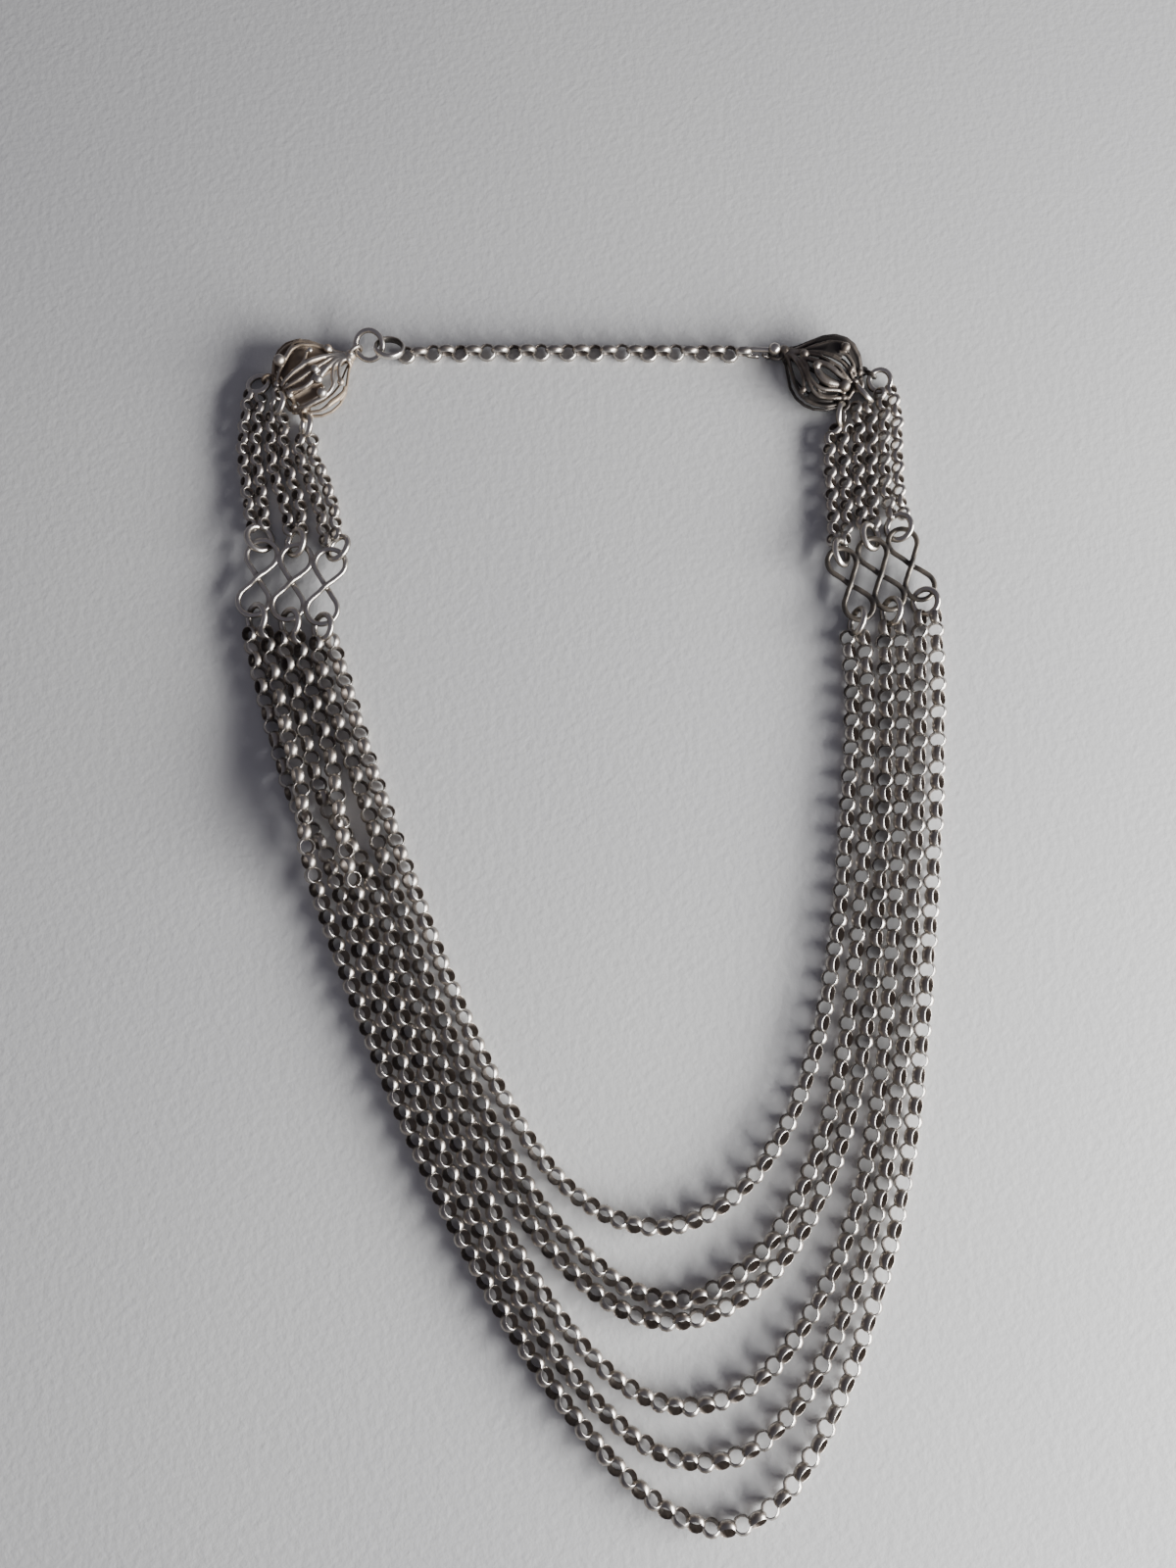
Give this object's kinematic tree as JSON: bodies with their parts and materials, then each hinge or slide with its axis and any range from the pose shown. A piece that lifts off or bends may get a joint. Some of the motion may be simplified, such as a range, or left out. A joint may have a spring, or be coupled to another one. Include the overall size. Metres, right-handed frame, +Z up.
{
  "type": "multi-strand chain necklace",
  "caption": "Necklace of nested long cable chains hung from openwork bud ornaments through rows of figure-eight links, closed by a short back chain with a hook.",
  "frame": {"origin": "middle of the bounding box on the surface that the necklace lies on", "axes": "+Y from the long strands towards the back chain, +X to the right of the picture, +Z up from the surface"},
  "size_m": [0.1494, 0.2404, 0.0061],
  "materials": {
    "silver": "polished, with darkened hollows",
    "oxidised_silver": "oxidised, polished on the outer faces"
  },
  "bodies": {
    "root": {"back_chain": "oxidised_silver", "bud_ornament_left": "silver", "bud_ornament_right": "silver", "catch_ring": "silver", "clasp_ring": "silver", "figure_eights_left": "silver", "figure_eights_right": "silver", "hook": "silver", "jump_ring_bud_left_1": "silver", "jump_ring_bud_left_2": "silver", "jump_ring_bud_left_3": "silver", "jump_ring_bud_right_1": "silver", "jump_ring_bud_right_2": "silver", "jump_ring_bud_right_3": "silver", "jump_ring_lower_left_1": "silver", "jump_ring_lower_left_2": "silver", "jump_ring_lower_left_3": "silver", "jump_ring_lower_right_1": "silver", "jump_ring_lower_right_2": "silver", "jump_ring_lower_right_3": "silver", "jump_ring_upper_left_1": "silver", "jump_ring_upper_left_2": "silver", "jump_ring_upper_left_3": "silver", "jump_ring_upper_right_1": "silver", "jump_ring_upper_right_2": "silver", "jump_ring_upper_right_3": "silver", "short_chain_left_1": "oxidised_silver", "short_chain_left_2": "oxidised_silver", "short_chain_left_3": "oxidised_silver", "short_chain_left_4": "oxidised_silver", "short_chain_left_5": "oxidised_silver", "short_chain_left_6": "oxidised_silver", "short_chain_right_1": "oxidised_silver", "short_chain_right_2": "oxidised_silver", "short_chain_right_3": "oxidised_silver", "short_chain_right_4": "oxidised_silver", "short_chain_right_5": "oxidised_silver", "short_chain_right_6": "oxidised_silver", "strand_1": "oxidised_silver", "strand_2": "oxidised_silver", "strand_3": "oxidised_silver", "strand_4": "oxidised_silver", "strand_5": "oxidised_silver", "strand_6": "oxidised_silver"}
  },
  "joints": []
}
